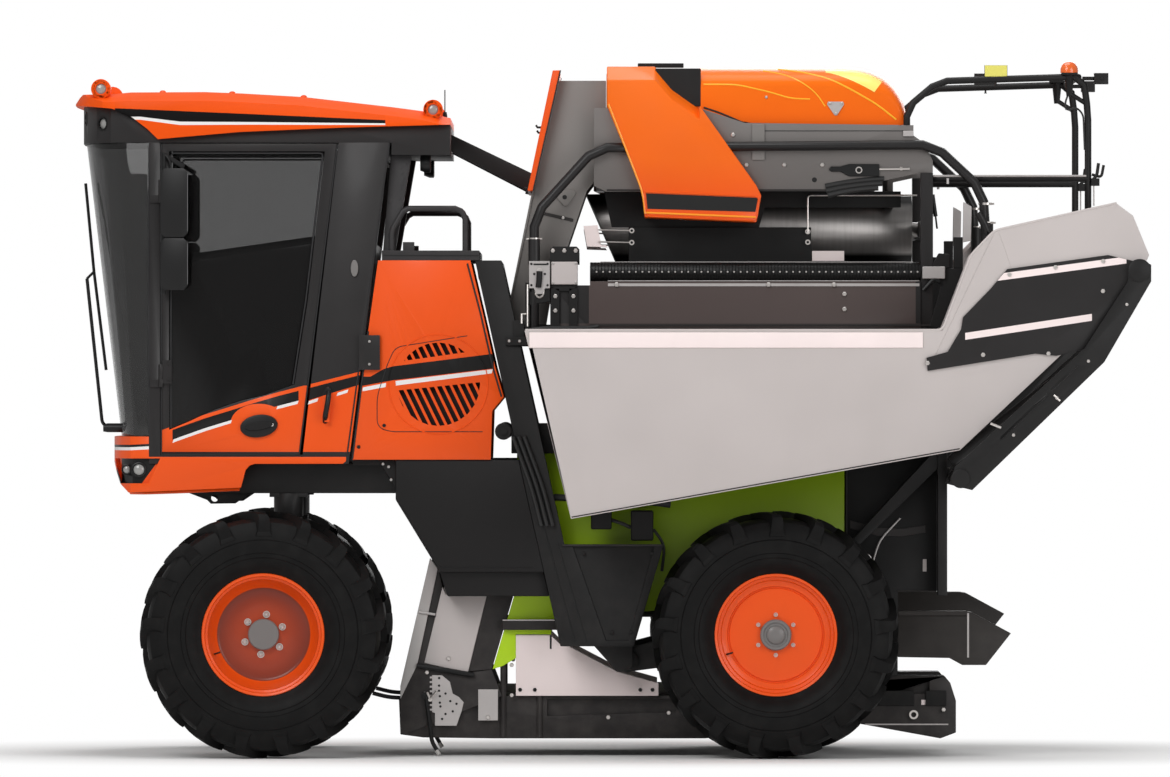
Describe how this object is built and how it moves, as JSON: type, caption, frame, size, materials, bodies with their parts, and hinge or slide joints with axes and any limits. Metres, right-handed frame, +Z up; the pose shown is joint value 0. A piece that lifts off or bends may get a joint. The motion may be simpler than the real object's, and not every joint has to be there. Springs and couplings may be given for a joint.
{
  "type": "self-propelled grape harvester",
  "caption": "Straddle grape harvester: cab and engine in front, picking tunnel between the wheels, sorting unit on top, tipping bins at the sides.",
  "frame": {"origin": "on the ground below the middle of the whole machine", "axes": "-X is the front, +Z is up, -Y is the machine's left side"},
  "size_m": [5.657, 2.992, 3.667],
  "materials": {
    "tyre": "matte rubber",
    "rim_steel": "gloss orange paint",
    "smoked_glass": "smoked glass",
    "black_plastic": "moulded black plastic",
    "dark_plastic": "dark moulded plastic",
    "black_paint": "satin black paint",
    "dark_paint": "satin dark grey paint",
    "orange_paint": "gloss orange paint",
    "grey_paint": "satin light grey paint",
    "green_paint": "lime green paint",
    "seat_fabric": "dark woven fabric",
    "cast_iron": "rough cast iron",
    "rod_plastic": "black polyamide",
    "scale_plastic": "pale polyamide",
    "roller_plastic": "dark rubber-covered roller",
    "beacon_plastic": "clear amber plastic"
  },
  "bodies": {
    "machine": {"beacon": "beacon_plastic", "bin_tipping_frame": "black_paint", "cab_brace": "grey_paint", "cab_glass": "smoked_glass", "cab_roof": "orange_paint", "cab_shell": "dark_paint", "catcher_scales": "scale_plastic", "chassis_frame": "black_paint", "deck": "black_paint", "elevator_columns": "dark_paint", "engine_block": "cast_iron", "engine_covers": "orange_paint", "fan_chutes": "orange_paint", "front_casing": "grey_paint", "front_cowl": "orange_paint", "front_legs": "black_paint", "front_sheet": "orange_paint", "guard_rails": "dark_paint", "head_columns": "black_paint", "head_noses": "grey_paint", "head_rails": "dark_paint", "head_skirts": "grey_paint", "lower_fan_ducts": "grey_paint", "rear_gantry": "black_paint", "rear_wheel_arms": "black_paint", "roof_band": "dark_plastic", "seat": "seat_fabric", "shaker_rods": "rod_plastic", "side_tanks": "dark_plastic", "sorting_tables": "dark_paint", "steering_column": "black_plastic", "table_augers": "black_plastic", "table_rollers": "roller_plastic", "threshing_drums": "grey_paint", "top_hood": "orange_paint", "top_housing": "grey_paint", "tunnel_walls": "green_paint"},
    "steering_left": {"knuckle_left": "black_paint"},
    "front_wheel_left": {"tyre_front_left": "tyre", "rim_front_left": "rim_steel"},
    "rear_wheel_left": {"tyre_rear_left": "tyre", "rim_rear_left": "rim_steel"},
    "cab_door_left": {"door_left": "orange_paint", "door_glass_left": "smoked_glass", "mirror_left": "black_plastic"},
    "tipping_bin_left": {"bin_left": "grey_paint", "bin_side_plate_left": "dark_paint"},
    "steering_right": {"knuckle_right": "black_paint"},
    "front_wheel_right": {"tyre_front_right": "tyre", "rim_front_right": "rim_steel"},
    "rear_wheel_right": {"tyre_rear_right": "tyre", "rim_rear_right": "rim_steel"},
    "cab_door_right": {"door_right": "orange_paint", "door_glass_right": "smoked_glass", "mirror_right": "black_plastic"},
    "tipping_bin_right": {"bin_right": "grey_paint", "bin_side_plate_right": "dark_paint"}
  },
  "joints": [
    {"name": "steer_left", "type": "hinge", "parent": "machine", "child": "steering_left", "pos_m": [-1.685, -0.66, 1.3], "axis": [0, 0, 1], "range_deg": [-35, 35]},
    {"name": "front_wheel_spin_left", "type": "hinge", "parent": "steering_left", "child": "front_wheel_left", "pos_m": [-1.81, -0.93, 0.65], "axis": [0, 1, 0], "continuous": true},
    {"name": "rear_wheel_spin_left", "type": "hinge", "parent": "machine", "child": "rear_wheel_left", "pos_m": [0.88, -0.95, 0.65], "axis": [0, 1, 0], "continuous": true},
    {"name": "door_swing_left", "type": "hinge", "parent": "machine", "child": "cab_door_left", "pos_m": [-2.352, -0.866, 2.4], "axis": [0, 0, -1], "range_deg": [0, 75]},
    {"name": "bin_tip_left", "type": "hinge", "parent": "machine", "child": "tipping_bin_left", "pos_m": [2.767, -1.15, 2.557], "axis": [0, 1, 0], "range_deg": [0, 60]},
    {"name": "steer_right", "type": "hinge", "parent": "machine", "child": "steering_right", "pos_m": [-1.685, 0.66, 1.3], "axis": [0, 0, 1], "range_deg": [-35, 35]},
    {"name": "front_wheel_spin_right", "type": "hinge", "parent": "steering_right", "child": "front_wheel_right", "pos_m": [-1.81, 0.93, 0.65], "axis": [0, 1, 0], "continuous": true},
    {"name": "rear_wheel_spin_right", "type": "hinge", "parent": "machine", "child": "rear_wheel_right", "pos_m": [0.88, 0.95, 0.65], "axis": [0, 1, 0], "continuous": true},
    {"name": "door_swing_right", "type": "hinge", "parent": "machine", "child": "cab_door_right", "pos_m": [-2.352, 0.866, 2.4], "axis": [0, 0, 1], "range_deg": [0, 75]},
    {"name": "bin_tip_right", "type": "hinge", "parent": "machine", "child": "tipping_bin_right", "pos_m": [2.767, 1.15, 2.557], "axis": [0, 1, 0], "range_deg": [0, 60]}
  ],
  "couplings": [
    {"joint": "steer_right", "follows": "steer_left", "ratio": 1}
  ]
}
